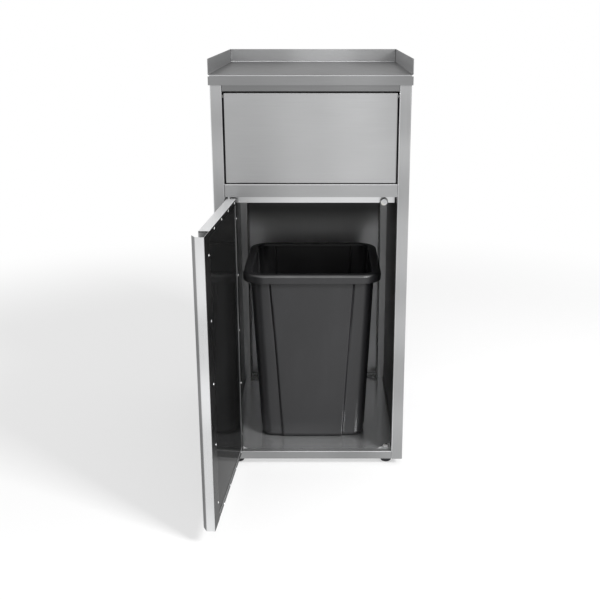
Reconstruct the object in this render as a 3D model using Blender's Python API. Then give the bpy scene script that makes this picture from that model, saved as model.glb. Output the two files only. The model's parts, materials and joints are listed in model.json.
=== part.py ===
"""Waste bin cabinet: tube frame, folded sheet panels, swing flap, hinged door and a loose moulded bin.

The cabinet is modelled with the front of its posts on the plane y = 0, its middle on x = 0 and the
ground at z = 0. The root empty then stands the whole, with the door open, on the middle of its footprint.
"""
import math

import bmesh
import bpy
from mathutils import Matrix, Vector

# Driving dimensions, in metres
BODY_WIDTH = 0.500
BODY_DEPTH = 0.594
TOTAL_HEIGHT = 1.100
FOOT_HEIGHT = 0.020

# Tube frame
POST_SIZE = 0.030
REAR_POST_WIDTH = 0.040
TUBE_WALL = 0.0015
TUBE_CORNER = 0.0025
TOP_RAIL_HEIGHT = 0.040
BOTTOM_RAIL_HEIGHT = 0.023
BOTTOM_RAIL_DEPTH = 0.020

# Folded sheet
SHEET = 0.0012
BEND = 0.0025
SEAM = 0.0003
FLOOR_DROP = 0.006
FLOOR_FLANGE = 0.014
BACK_FLANGE = 0.014
LINER_SHEET = 0.0010
LINER_INSET = 0.018

# Tray top
TRAY_SHEET = 0.0012
TRAY_OVERHANG = 0.003
TRAY_UPSTAND = 0.037
TRAY_APRON = 0.026
CORNER_RELIEF = 0.001

# Flap and its pins
FLAP_HEIGHT = 0.225
FLAP_SIDE_GAP = 0.004
FLAP_TOP_GAP = 0.003
FLAP_BOTTOM_GAP = 0.002
FLAP_THICKNESS = 0.014
FLAP_PIN_DROP = 0.009
FLAP_PLATE_SHEET = 0.0012
FLAP_PIN_RADIUS = 0.0025
FLAP_COLLAR_RADIUS = 0.0050
FLAP_BUSH_RADIUS = 0.0035
FLAP_BUSH_FLANGE_RADIUS = 0.0048
FLAP_BUSH_FLANGE = 0.0012
FLAP_BUSH_DEPTH = 0.008

# Rail between flap and door
MID_RAIL_HEIGHT = 0.0335
MID_RAIL_DEPTH = 0.040
MID_RAIL_SHEET = 0.0015
STOP_DROP = 0.022
STOP_END_GAP = 0.004

# Door and its pins
DOOR_OPEN = math.radians(94.0)
DOOR_SIDE_GAP = 0.003
DOOR_TOP_GAP = 0.005
DOOR_BOTTOM_GAP = 0.002
DOOR_THICKNESS = 0.025
DOOR_PIN_INSET = 0.006
DOOR_LIP = 0.014
DOOR_HINGE_LIP = 0.020
DOOR_LINER_SHEET = 0.0010
DOOR_BEND = 0.0018
PULL_RETURN = 0.058
PULL_EDGE_SETBACK = 0.004
PULL_LIP_OUT = 0.006
PULL_LIP_BACK = 0.017
PULL_SKIN_GAP = 0.001
LINER_END_GAP = 0.020
HINGE_PIN_RADIUS = 0.0025
HINGE_PIN_REACH = 0.014
HINGE_HEAD_RADIUS = 0.0045
HINGE_HEAD = 0.0025
HINGE_COLLAR_RADIUS = 0.0048
DOOR_BUSH_RADIUS = 0.0038
DOOR_BUSH_HEAD_RADIUS = 0.0044
DOOR_BUSH_HEAD = 0.0020
DOOR_BUSH_LENGTH = 0.012
HINGE_BRACKET_SHEET = 0.003
HINGE_BRACKET_WIDTH = 0.026
HINGE_BRACKET_LENGTH = 0.026
HINGE_BRACKET_TAB = 0.024
HINGE_BRACKET_SETBACK = 0.003

# Magnetic catch
CATCH_RADIUS = 0.0095
CATCH_FROM_POST = 0.032
CATCH_BELOW_RAIL = 0.0184
CATCH_NOTCH_CLEARANCE = 0.0015
CATCH_EDGE = 0.0012
CATCH_DIMPLE_RADIUS = 0.0035
CATCH_DIMPLE = 0.0015
CATCH_PLATE_SHEET = 0.0015
CATCH_PLATE_WIDTH = 0.034
CATCH_PLATE_BELOW = 0.003
CATCH_PLATE_ABOVE = 0.024

# Corner plates and feet
CORNER_PLATE_LEG = 0.042
CORNER_PLATE_SHEET = 0.003
FOOT_FROM_SIDE = 0.0127
FOOT_FROM_EDGE = 0.0157
FOOT_PAD_RADIUS = 0.0145
FOOT_PAD_HEIGHT = 0.017
FOOT_PAD_NECK_RADIUS = 0.0075
FOOT_PAD_EDGE = 0.002
FOOT_SOCKET_DEPTH = 0.010
STUD_RADIUS = 0.004
STUD_COLLAR_RADIUS = 0.008
STUD_COLLAR = 0.004
NUT_ACROSS_FLATS = 0.013
NUT_HEIGHT = 0.0065
STUD_PROUD = 0.0015

# Bin
BIN_HEIGHT = 0.495
BIN_TOP_WIDTH = 0.335
BIN_TOP_DEPTH = 0.340
BIN_BOTTOM_WIDTH = 0.289
BIN_BOTTOM_DEPTH = 0.295
BIN_WALL = 0.003
BIN_CORNER = 0.030
BIN_BOTTOM_EDGE = 0.012
BIN_RIM_OVERHANG = 0.0225
BIN_RIM_HEIGHT = 0.024
BIN_RIM_TOP = 0.006
BIN_RIM_CORNER = 0.060
BIN_PANEL_TOP_WIDTH = 0.225
BIN_PANEL_BOTTOM_WIDTH = 0.168
BIN_PANEL_TOP_PROUD = 0.0040
BIN_PANEL_BOTTOM_PROUD = 0.0055
BIN_PANEL_TOP_STEP = 0.0055
BIN_PANEL_BOTTOM_STEP = 0.0065
BIN_FROM_FRONT = 0.060

# Running clearance between a turning piece and what holds it, and a cutter's reach beyond what it cuts
RUNNING = 0.0003
CUT_REACH = 0.0020

# Fineness of round shapes
ROUND_SEGMENTS = 24
NOTCH_SEGMENTS = 8
CORNER_SEGMENTS = 5
DOME_SEGMENTS = 4
EDGE_SEGMENTS = 3
BEND_SEGMENTS = 2
ROUND_PROFILE = 0.5
MERGE = 0.000001
FLAT = math.radians(1.0)
SHARP = math.radians(35.0)

# Levels and planes that follow from the driving dimensions
half_width = BODY_WIDTH / 2
opening = half_width - POST_SIZE
rear_opening = half_width - REAR_POST_WIDTH
tray_level = TOTAL_HEIGHT - TRAY_UPSTAND
rail_top_level = tray_level - TRAY_SHEET - SEAM
rail_bottom_level = rail_top_level - TOP_RAIL_HEIGHT
flap_top = rail_bottom_level - FLAP_TOP_GAP
flap_bottom = flap_top - FLAP_HEIGHT
flap_axis_level = flap_top - FLAP_PIN_DROP
flap_half = opening - FLAP_SIDE_GAP
mid_rail_top = flap_bottom - FLAP_BOTTOM_GAP
mid_rail_bottom = mid_rail_top - MID_RAIL_HEIGHT
base_level = FOOT_HEIGHT + BOTTOM_RAIL_HEIGHT
floor_level = base_level - FLOOR_DROP
door_top = mid_rail_bottom - DOOR_TOP_GAP
door_bottom = base_level + DOOR_BOTTOM_GAP
door_axis = Vector((-opening + DOOR_SIDE_GAP + DOOR_PIN_INSET, DOOR_PIN_INSET, 0.0))
door_free_edge = 2 * (opening - DOOR_SIDE_GAP) - DOOR_PIN_INSET
SIDES = (("left", -1), ("right", 1))


def clear_scene():
    """Remove whatever the scene holds."""
    for item in list(bpy.data.objects):
        bpy.data.objects.remove(item, do_unlink=True)


def finish(name, colour, roughness, metallic):
    """Return a plain Principled material."""
    material = bpy.data.materials.new(name)
    material.use_nodes = True
    shader = material.node_tree.nodes["Principled BSDF"]
    shader.inputs["Base Color"].default_value = (*colour, 1.0)
    shader.inputs["Roughness"].default_value = roughness
    shader.inputs["Metallic"].default_value = metallic
    return material


def pivot(name, place, parent=None):
    """Return an empty that carries the pieces of one body."""
    empty = bpy.data.objects.new(name, None)
    empty.location = place
    empty.parent = parent
    bpy.context.scene.collection.objects.link(empty)
    return empty


def add_mesh(name, bm, material, parent, smooth=False):
    """Turn a bmesh into a named object under its body's empty."""
    mesh = bpy.data.meshes.new(name)
    bm.to_mesh(mesh)
    bm.free()
    if material:
        mesh.materials.append(material)
    if smooth:
        mesh.shade_smooth()
        mesh.set_sharp_from_angle(angle=SHARP)
    item = bpy.data.objects.new(name, mesh)
    item.parent = parent
    bpy.context.scene.collection.objects.link(item)
    return item


def add_closed(name, bm, material, parent, smooth=False):
    """Add a mesh that is already a closed body, with its faces turned outwards."""
    bmesh.ops.recalc_face_normals(bm, faces=bm.faces)
    return add_mesh(name, bm, material, parent, smooth)


def cut(item, cutter):
    """Take the cutter's shape out of an object."""
    modifier = item.modifiers.new(cutter.name, "BOOLEAN")
    modifier.operation = "DIFFERENCE"
    modifier.solver = "EXACT"
    modifier.object = cutter


def arc(centre, radius, start, end, count):
    """Return points on an arc, both ends included; angles in degrees."""
    angles = [math.radians(start + (end - start) * i / count) for i in range(count + 1)]
    return [(centre[0] + radius * math.cos(a), centre[1] + radius * math.sin(a)) for a in angles]


def circle(radius, count=ROUND_SEGMENTS):
    """Return a ring of points about the origin."""
    return arc((0.0, 0.0), radius, 0.0, 360.0, count)[:-1]


def hexagon(across_flats, count=ROUND_SEGMENTS):
    """Return points round a hexagon, as many as a circle has, so that a bore can be bridged to it."""
    points = []
    for i in range(count):
        turn = 2 * math.pi * i / count
        reach = across_flats / 2 / math.cos((turn % (math.pi / 3)) - math.pi / 6)
        points.append((reach * math.cos(turn), reach * math.sin(turn)))
    return points


def rounded_box(low, high, radius, count=EDGE_SEGMENTS):
    """Return a rectangle with round corners, anticlockwise."""
    (x0, y0), (x1, y1) = low, high
    corners = (((x1 - radius, y0 + radius), -90), ((x1 - radius, y1 - radius), 0),
               ((x0 + radius, y1 - radius), 90), ((x0 + radius, y0 + radius), 180))
    return [p for centre, start in corners for p in arc(centre, radius, start, start + 90, count)]


def along(axis, point, distance):
    """Place a profile point at a distance along an axis."""
    a, b = point
    return {"X": (distance, a, b), "Y": (a, distance, b), "Z": (a, b, distance)}[axis]


def prism(outline, axis, start, end):
    """Extrude a closed outline along an axis."""
    bm = bmesh.new()
    rings = [[bm.verts.new(along(axis, p, d)) for p in outline] for d in (start, end)]
    bm.faces.new(rings[0])
    bm.faces.new(rings[1])
    bridge(bm, rings[0], rings[1])
    return bm


def hollow_prism(outer, inner, axis, start, end):
    """Extrude the space between two outlines of as many points along an axis."""
    bm = bmesh.new()
    loops = [[bm.verts.new(along(axis, p, d)) for p in outline]
             for outline, d in ((outer, start), (outer, end), (inner, end), (inner, start))]
    for i, loop in enumerate(loops):
        bridge(bm, loop, loops[(i + 1) % len(loops)])
    return bm


def bridge(bm, first, second):
    """Join two closed rings of vertices with quads."""
    count = len(first)
    for i in range(count):
        j = (i + 1) % count
        bm.faces.new((first[i], first[j], second[j], second[i]))


def turned(profile, axis, centre, ring=False, count=ROUND_SEGMENTS):
    """Turn a profile of (radius, distance) about an axis through a centre.

    A ring's profile is a closed loop clear of the axis. Any other profile starts and ends on the axis.
    """
    bm = bmesh.new()
    loops = []
    for radius, distance in profile:
        points = circle(radius, count) if radius > 0 else [(0.0, 0.0)]
        loops.append([bm.verts.new(Vector(along(axis, p, distance)) + Vector(centre)) for p in points])
    pairs = list(zip(loops, loops[1:]))
    if ring:
        pairs.append((loops[-1], loops[0]))
    for first, second in pairs:
        if len(first) == 1 or len(second) == 1:
            tip, edge = (first[0], second) if len(first) == 1 else (second[0], first)
            for i in range(len(edge)):
                bm.faces.new((tip, edge[i], edge[(i + 1) % len(edge)]))
        else:
            bridge(bm, first, second)
    return bm


def sheet(name, faces, outward, thickness, material, parent, bend=BEND):
    """Fold a sheet from flat faces given on its outer side, and thicken it inwards.

    The largest face looks along outward. Edges that two faces share become round bends.
    """
    bm = bmesh.new()
    for corners in faces:
        bm.faces.new([bm.verts.new(c) for c in corners])
    bmesh.ops.remove_doubles(bm, verts=bm.verts, dist=MERGE)
    bmesh.ops.recalc_face_normals(bm, faces=bm.faces)
    bm.normal_update()
    widest = max(bm.faces, key=lambda face: face.calc_area())
    if widest.normal.dot(Vector(outward)) < 0:
        bmesh.ops.reverse_faces(bm, faces=bm.faces)
    folds = [edge for edge in bm.edges if len(edge.link_faces) == 2 and edge.calc_face_angle() > FLAT]
    if folds:
        bmesh.ops.bevel(bm, geom=folds, offset=bend, segments=BEND_SEGMENTS, profile=ROUND_PROFILE,
                        affect="EDGES")
    item = add_mesh(name, bm, material, parent)
    solidify = item.modifiers.new("thickness", "SOLIDIFY")
    solidify.thickness = thickness
    solidify.offset = -1.0
    solidify.use_even_offset = True
    return item


def pan(u, v, depth):
    """Return the faces of a rectangle with a flange on each side, in (u, v, n) with n into the pan."""
    (u0, u1), (v0, v1) = u, v
    rim = [(u0, v0), (u1, v0), (u1, v1), (u0, v1)]
    faces = [[(a, b, 0.0) for a, b in rim]]
    for (a, b), (c, d) in zip(rim, rim[1:] + rim[:1]):
        faces.append([(a, b, 0.0), (c, d, 0.0), (c, d, depth), (a, b, depth)])
    return faces


def placed(faces, place):
    """Move faces from their own (u, v, n) directions with a placing function."""
    return [[place(*corner) for corner in face] for face in faces]


def hole(name, radius, axis, centre, start, end, parent):
    """Return a round cutter that stays out of the model."""
    bm = turned([(0.0, start), (radius, start), (radius, end), (0.0, end)], axis, centre)
    cutter = add_closed(name, bm, None, parent)
    cutter.hide_render = True
    cutter.display_type = "WIRE"
    return cutter


def tube(name, low, high, axis, material, parent):
    """Add a rectangular tube between two corners, open at its ends along the axis."""
    across = [i for i in range(3) if "XYZ"[i] != axis]
    run = "XYZ".index(axis)
    corner_low = [low[i] for i in across]
    corner_high = [high[i] for i in across]
    outer = rounded_box(corner_low, corner_high, TUBE_CORNER)
    inner = rounded_box([c + TUBE_WALL for c in corner_low], [c - TUBE_WALL for c in corner_high],
                        TUBE_CORNER - TUBE_WALL)
    return add_closed(name, hollow_prism(outer, inner, axis, low[run], high[run]), material, parent)


def build_frame(root, steel):
    """Add the posts, the top rails and the bottom rails, and return them by name."""
    tubes = {}

    def add(name, low, high, axis):
        """Add one tube of the frame."""
        tubes[name] = tube(name, low, high, axis, steel, root)

    ends = (POST_SIZE + SEAM, BODY_DEPTH - POST_SIZE - SEAM)
    rows = (("front", 0.0, opening), ("rear", BODY_DEPTH - POST_SIZE, rear_opening))
    for row, y, inner in rows:
        for side, sign in SIDES:
            x = sorted((sign * half_width, sign * inner))
            add(f"post_{row}_{side}", (x[0], y, FOOT_HEIGHT), (x[1], y + POST_SIZE, rail_top_level), "Z")
    levels = (("top", rail_bottom_level, rail_top_level, POST_SIZE),
              ("bottom", FOOT_HEIGHT, base_level, BOTTOM_RAIL_DEPTH))
    for level, low, high, deep in levels:
        for row, y, inner in (("front", 0.0, opening), ("rear", BODY_DEPTH - deep, rear_opening)):
            add(f"rail_{level}_{row}", (-inner + SEAM, y, low), (inner - SEAM, y + deep, high), "X")
        for side, sign in SIDES:
            x = sorted((sign * half_width, sign * (half_width - deep)))
            add(f"rail_{level}_{side}", (x[0], ends[0], low), (x[1], ends[1], high), "Y")
    return tubes


def build_panels(root, steel, inner_steel):
    """Add the outer side pans with their inner liners, and the back pan, between posts and rails."""
    heights = (base_level + SEAM, rail_bottom_level - SEAM)
    depths = (POST_SIZE + SEAM, BODY_DEPTH - POST_SIZE - SEAM)
    liner = half_width - LINER_INSET
    flange = LINER_INSET - LINER_SHEET - SEAM
    for side, sign in SIDES:
        faces = placed(pan(depths, heights, flange), lambda u, v, n: (sign * (half_width - n), u, v))
        sheet(f"side_panel_{side}", faces, (sign, 0, 0), SHEET, steel, root)
        outline = rounded_box((depths[0], heights[0]), (depths[1], heights[1]), BEND)
        plate = prism(outline, "X", sign * liner, sign * (liner + LINER_SHEET))
        add_closed(f"side_liner_{side}", plate, inner_steel, root)
    widths = (-rear_opening + SEAM, rear_opening - SEAM)
    faces = placed(pan(widths, heights, BACK_FLANGE), lambda u, v, n: (u, BODY_DEPTH - n, v))
    sheet("back_panel", faces, (0, 1, 0), SHEET, inner_steel, root)


def build_floor(root, steel):
    """Add the floor sheet, notched round the posts, with a flange down along each bottom rail."""
    wide = half_width - BOTTOM_RAIL_DEPTH - SEAM
    near, far = opening - SEAM, rear_opening - SEAM
    front, rear = BOTTOM_RAIL_DEPTH + SEAM, BODY_DEPTH - BOTTOM_RAIL_DEPTH - SEAM
    front_post, rear_post = POST_SIZE + SEAM, BODY_DEPTH - POST_SIZE - SEAM
    outline = [(-near, front), (near, front), (near, front_post), (wide, front_post), (wide, rear_post),
               (far, rear_post), (far, rear), (-far, rear), (-far, rear_post), (-wide, rear_post),
               (-wide, front_post), (-near, front_post)]
    low = floor_level - FLOOR_FLANGE
    faces = [[(x, y, floor_level) for x, y in outline]]
    for start in (0, 3, 6, 9):
        (ax, ay), (bx, by) = outline[start], outline[start + 1]
        faces.append([(ax, ay, floor_level), (bx, by, floor_level), (bx, by, low), (ax, ay, low)])
    return sheet("floor_panel", faces, (0, 0, 1), SHEET, steel, root)


def build_tray(root, steel):
    """Add the tray top: three upstands and a front apron folded from one sheet, notched at its corners."""
    wide = half_width + TRAY_OVERHANG
    front, rear = TRAY_SHEET - TRAY_OVERHANG, BODY_DEPTH + TRAY_OVERHANG
    under = tray_level - TRAY_SHEET
    notch = BEND + CORNER_RELIEF
    fold, ear = wide - notch, under - notch
    low = tray_level - TRAY_APRON
    plan = [(-wide, front), (-fold, front), (fold, front), (wide, front), (wide, rear), (-wide, rear)]
    apron = [(-fold, under), (fold, under), (fold, ear), (wide, ear), (wide, low), (-wide, low), (-wide, ear),
             (-fold, ear)]
    faces = [[(x, y, under) for x, y in plan], [(x, front, z) for x, z in apron]]
    for (ax, ay), (bx, by) in ((plan[3], plan[4]), (plan[4], plan[5]), (plan[5], plan[0])):
        faces.append([(ax, ay, under), (bx, by, under), (bx, by, TOTAL_HEIGHT), (ax, ay, TOTAL_HEIGHT)])
    sheet("tray_top", faces, (0, 0, -1), TRAY_SHEET, steel, root)


def build_mid_rail(root, steel, catch_x, catch_level):
    """Add the channel between flap and door, whose rear leg stops the door and makes way for the catch."""
    end = opening - SEAM
    stop = mid_rail_bottom - STOP_DROP
    stop_end = opening - STOP_END_GAP
    notch = CATCH_RADIUS + CATCH_NOTCH_CLEARANCE
    rear = MID_RAIL_DEPTH
    leg = [(-end, mid_rail_top), (-end, mid_rail_bottom), (-stop_end, mid_rail_bottom), (-stop_end, stop),
           (catch_x - notch, stop)]
    leg += arc((catch_x, catch_level), notch, 180, 0, NOTCH_SEGMENTS)
    leg += [(catch_x + notch, stop), (stop_end, stop), (stop_end, mid_rail_bottom), (end, mid_rail_bottom),
            (end, mid_rail_top)]
    faces = [[(-end, 0, mid_rail_bottom), (end, 0, mid_rail_bottom), (end, 0, mid_rail_top),
              (-end, 0, mid_rail_top)],
             [(-end, 0, mid_rail_top), (end, 0, mid_rail_top), (end, rear, mid_rail_top),
              (-end, rear, mid_rail_top)],
             [(x, rear, z) for x, z in leg]]
    sheet("mid_rail", faces, (0, 1, 0), MID_RAIL_SHEET, steel, root)


def build_catch(root, zinc, steel, catch_x, catch_level):
    """Add the round magnet that meets the closed door, and the plate that holds it behind the rail."""
    face = DOOR_THICKNESS + SEAM
    back = MID_RAIL_DEPTH
    profile = [(0.0, face + CATCH_DIMPLE), (CATCH_DIMPLE_RADIUS, face + CATCH_DIMPLE),
               (CATCH_DIMPLE_RADIUS, face), (CATCH_RADIUS - CATCH_EDGE, face),
               (CATCH_RADIUS, face + CATCH_EDGE), (CATCH_RADIUS, back), (0.0, back)]
    add_closed("catch_magnet", turned(profile, "Y", (catch_x, 0.0, catch_level)), zinc, root, smooth=True)
    half = CATCH_PLATE_WIDTH / 2
    outline = rounded_box((catch_x - half, catch_level - CATCH_PLATE_BELOW),
                          (catch_x + half, catch_level + CATCH_PLATE_ABOVE), BEND)
    plate = prism(outline, "Y", back + SEAM, back + SEAM + CATCH_PLATE_SHEET)
    add_closed("catch_plate", plate, steel, root)


def build_feet(root, floor_sheet, steel, zinc, rubber):
    """Add a corner plate, a stud with its nut and a pad at each corner of the floor."""
    plate_low = floor_level + SEAM
    plate_high = plate_low + CORNER_PLATE_SHEET
    nut_low = plate_high + SEAM
    collar_high = floor_level - SHEET - SEAM
    stud_top = nut_low + NUT_HEIGHT + STUD_PROUD
    stud_foot = FOOT_PAD_HEIGHT - FOOT_SOCKET_DEPTH + SEAM
    margin = BOTTOM_RAIL_DEPTH + SEAM
    rows = (("front", margin, 1, opening), ("rear", BODY_DEPTH - margin, -1, rear_opening))
    for row, edge, away, post in rows:
        for side, sign in SIDES:
            name = f"{row}_{side}"
            inner = sign * (post - SEAM)
            outline = [(inner, edge), (inner - sign * CORNER_PLATE_LEG, edge),
                       (inner, edge + away * CORNER_PLATE_LEG)]
            place = (inner - sign * FOOT_FROM_SIDE, edge + away * FOOT_FROM_EDGE, 0.0)
            plate = prism(outline, "Z", plate_low, plate_high)
            plate = add_closed(f"corner_plate_{name}", plate, steel, root)
            bore = hole(f"stud_hole_{name}", STUD_RADIUS + RUNNING, "Z", place, FOOT_HEIGHT, stud_top, root)
            cut(plate, bore)
            cut(floor_sheet, bore)
            stud = [(0.0, stud_foot), (STUD_RADIUS, stud_foot), (STUD_RADIUS, collar_high - STUD_COLLAR),
                    (STUD_COLLAR_RADIUS, collar_high - STUD_COLLAR), (STUD_COLLAR_RADIUS, collar_high),
                    (STUD_RADIUS, collar_high), (STUD_RADIUS, stud_top), (0.0, stud_top)]
            add_closed(f"foot_stud_{name}", turned(stud, "Z", place), zinc, root, smooth=True)
            build_nut(f"foot_nut_{name}", place, nut_low, zinc, root)
            build_pad(f"foot_pad_{name}", place, rubber, root)


def build_nut(name, place, low, zinc, root):
    """Add one hexagon nut round a stud."""
    nut = hollow_prism(hexagon(NUT_ACROSS_FLATS), circle(STUD_RADIUS + RUNNING), "Z", low, low + NUT_HEIGHT)
    bmesh.ops.translate(nut, verts=nut.verts, vec=place)
    add_closed(name, nut, zinc, root)


def build_pad(name, place, rubber, root):
    """Add one domed rubber foot with a socket for its stud."""
    socket = STUD_RADIUS + RUNNING
    floor = FOOT_PAD_HEIGHT - FOOT_SOCKET_DEPTH
    rise = FOOT_PAD_HEIGHT / 2
    dome = arc((FOOT_PAD_NECK_RADIUS, rise), 1.0, 0, 90, DOME_SEGMENTS)
    reach = (FOOT_PAD_RADIUS - FOOT_PAD_NECK_RADIUS, FOOT_PAD_HEIGHT - rise)
    dome = [(FOOT_PAD_NECK_RADIUS + (r - FOOT_PAD_NECK_RADIUS) * reach[0], rise + (z - rise) * reach[1])
            for r, z in dome]
    profile = [(0.0, 0.0), (FOOT_PAD_RADIUS - FOOT_PAD_EDGE, 0.0), (FOOT_PAD_RADIUS, FOOT_PAD_EDGE), *dome,
               (socket, FOOT_PAD_HEIGHT), (socket, floor), (0.0, floor)]
    add_closed(name, turned(profile, "Z", place), rubber, root, smooth=True)


def build_flap(root, tubes, steel, zinc, nylon):
    """Add the flap, which hangs on two pins in bushes in the front posts."""
    middle = FLAP_THICKNESS / 2
    body = pivot("flap_axis", (0.0, middle, flap_axis_level), root)
    heights = (flap_bottom - flap_axis_level, flap_top - flap_axis_level)
    faces = placed(pan((-flap_half, flap_half), heights, FLAP_THICKNESS), lambda u, v, n: (u, n - middle, v))
    sheet("flap_pan", faces, (0, -1, 0), SHEET, steel, body)
    inset = SHEET + SEAM
    plate_half = flap_half - inset
    outline = rounded_box((-plate_half, heights[0] + inset), (plate_half, heights[1] - inset), BEND)
    rear = middle - SEAM
    add_closed("flap_plate", prism(outline, "Y", rear - FLAP_PLATE_SHEET, rear), steel, body)
    collar_start = flap_half + SEAM
    collar_end = opening - SEAM - FLAP_BUSH_FLANGE - SEAM
    pin_end = opening + FLAP_BUSH_DEPTH
    bore = FLAP_PIN_RADIUS + RUNNING
    for side, sign in SIDES:
        pin = [(0.0, collar_start), (FLAP_COLLAR_RADIUS, collar_start), (FLAP_COLLAR_RADIUS, collar_end),
               (FLAP_PIN_RADIUS, collar_end), (FLAP_PIN_RADIUS, pin_end), (0.0, pin_end)]
        pin = [(r, sign * d) for r, d in pin]
        add_closed(f"flap_pin_{side}", turned(pin, "X", (0, 0, 0)), zinc, body, smooth=True)
        place = (0.0, middle, flap_axis_level)
        flange = opening - SEAM - FLAP_BUSH_FLANGE
        bush = [(bore, flange), (FLAP_BUSH_FLANGE_RADIUS, flange), (FLAP_BUSH_FLANGE_RADIUS, opening - SEAM),
                (FLAP_BUSH_RADIUS, opening - SEAM), (FLAP_BUSH_RADIUS, pin_end), (bore, pin_end)]
        bush = [(r, sign * d) for r, d in bush]
        add_closed(f"flap_bush_{side}", turned(bush, "X", place, ring=True), nylon, root, smooth=True)
        ends = sorted((sign * (opening - CUT_REACH), sign * (opening + TUBE_WALL + CUT_REACH)))
        cutter = hole(f"bush_hole_{side}", FLAP_BUSH_RADIUS + RUNNING, "X", place, *ends, root)
        cut(tubes[f"post_front_{side}"], cutter)


def door_skin_faces(hinge, wall, low, high):
    """Return the door pan: outer face, three flanges with lips, and the wall behind the finger pull."""
    out, deep = -DOOR_PIN_INSET, DOOR_THICKNESS - DOOR_PIN_INSET
    wall_deep = deep - SHEET - SEAM - DOOR_LINER_SHEET - SEAM
    lip, side_lip = DOOR_LIP, DOOR_HINGE_LIP
    gap = DOOR_BEND + SHEET + SEAM
    face = [(hinge, low), (wall, low), (wall, low + gap), (wall, high - gap), (wall, high), (hinge, high)]
    return [
        [(x, out, z) for x, z in face],
        [(hinge, out, low), (hinge, out, high), (hinge, deep, high), (hinge, deep, low)],
        [(hinge, out, low), (wall, out, low), (wall, deep, low), (hinge, deep, low)],
        [(hinge, out, high), (wall, out, high), (wall, deep, high), (hinge, deep, high)],
        [(wall, out, low + gap), (wall, out, high - gap), (wall, wall_deep, high - gap),
         (wall, wall_deep, low + gap)],
        [(hinge, deep, low), (hinge, deep, high), (hinge + side_lip, deep, high - lip),
         (hinge + side_lip, deep, low + lip)],
        [(hinge, deep, low), (wall, deep, low), (wall, deep, low + lip), (hinge + side_lip, deep, low + lip)],
        [(hinge, deep, high), (wall, deep, high), (wall, deep, high - lip),
         (hinge + side_lip, deep, high - lip)],
    ]


def build_door(root, lower_rail, steel, inner_steel, zinc, nylon):
    """Add the door, modelled shut about its axis and turned open, and the pins that carry it."""
    body = pivot("door_axis", door_axis, root)
    body.rotation_euler.z = -DOOR_OPEN
    hinge = -DOOR_PIN_INSET
    free = door_free_edge
    wall = free - PULL_RETURN - PULL_SKIN_GAP
    out, deep = -DOOR_PIN_INSET, DOOR_THICKNESS - DOOR_PIN_INSET
    faces = door_skin_faces(hinge, wall, door_bottom, door_top)
    skin = sheet("door_skin", faces, (0, -1, 0), SHEET, steel, body, DOOR_BEND)

    liner_rear = deep - SHEET - SEAM
    inset = SHEET + SEAM
    outline = [(hinge + inset, door_bottom + inset), (free - LINER_END_GAP, door_bottom + inset),
               (free - LINER_END_GAP, door_top - inset), (hinge + inset, door_top - inset)]
    liner = prism(outline, "Y", liner_rear - DOOR_LINER_SHEET, liner_rear)
    add_closed("door_liner", liner, inner_steel, body)

    edge = out + PULL_EDGE_SETBACK
    lip = (free - PULL_LIP_BACK, out - PULL_LIP_OUT)
    path = [lip, (free, edge), (free, deep), (free - PULL_RETURN, deep)]
    faces = [[(ax, ay, door_bottom), (bx, by, door_bottom), (bx, by, door_top), (ax, ay, door_top)]
             for (ax, ay), (bx, by) in zip(path, path[1:])]
    sheet("door_pull", faces, (0, 1, 0), SHEET, steel, body)

    bush_hole = DOOR_BUSH_RADIUS + RUNNING
    bore = HINGE_PIN_RADIUS + RUNNING
    for end, level, inward in (("top", door_top, -1), ("bottom", door_bottom, 1)):
        span = sorted((level - inward * CUT_REACH, level + inward * (SHEET + CUT_REACH)))
        cut(skin, hole(f"bush_hole_{end}", bush_hole, "Z", (0, 0, 0), *span, body))
        head = level + inward * (SHEET + SEAM)
        profile = [(bore, level), (DOOR_BUSH_RADIUS, level), (DOOR_BUSH_RADIUS, head),
                   (DOOR_BUSH_HEAD_RADIUS, head), (DOOR_BUSH_HEAD_RADIUS, head + inward * DOOR_BUSH_HEAD),
                   (DOOR_BUSH_RADIUS, head + inward * DOOR_BUSH_HEAD),
                   (DOOR_BUSH_RADIUS, level + inward * DOOR_BUSH_LENGTH),
                   (bore, level + inward * DOOR_BUSH_LENGTH)]
        add_closed(f"door_bush_{end}", turned(profile, "Z", (0, 0, 0), ring=True), nylon, body, smooth=True)
    build_hinges(root, lower_rail, zinc, steel)


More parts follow.
